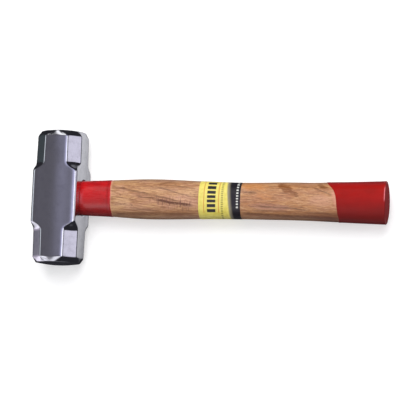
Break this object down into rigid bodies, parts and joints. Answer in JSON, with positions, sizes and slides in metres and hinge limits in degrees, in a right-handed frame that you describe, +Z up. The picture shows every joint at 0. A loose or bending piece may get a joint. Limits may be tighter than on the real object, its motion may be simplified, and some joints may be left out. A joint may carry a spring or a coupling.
{
  "type": "lump hammer",
  "caption": "Double-faced lump hammer: forged steel head with octagonal ends on a wedged wooden handle, with painted neck and butt and a wrapped label.",
  "frame": {"origin": "centre of the flat cheek of the head that the hammer lies on", "axes": "+Z is up, out through the opposite cheek; +X runs from the head down the handle to the butt; +Y and -Y point out of the two striking faces"},
  "size_m": [0.3427, 0.131, 0.046],
  "materials": {
    "head_steel": "polished forged steel",
    "handle_wood": "clear varnished hardwood",
    "wedge_wood": "bare hardwood",
    "wedge_steel": "plain mild steel",
    "red_paint": "gloss red lacquer",
    "red_dip": "satin red dip paint",
    "label_film": "printed plastic film"
  },
  "bodies": {
    "root": {"head": "head_steel", "handle": "handle_wood", "timber_wedge": "wedge_wood", "steel_wedge_1": "wedge_steel", "steel_wedge_2": "wedge_steel", "neck_paint": "red_paint", "butt_paint": "red_dip", "label": "label_film"}
  },
  "joints": []
}
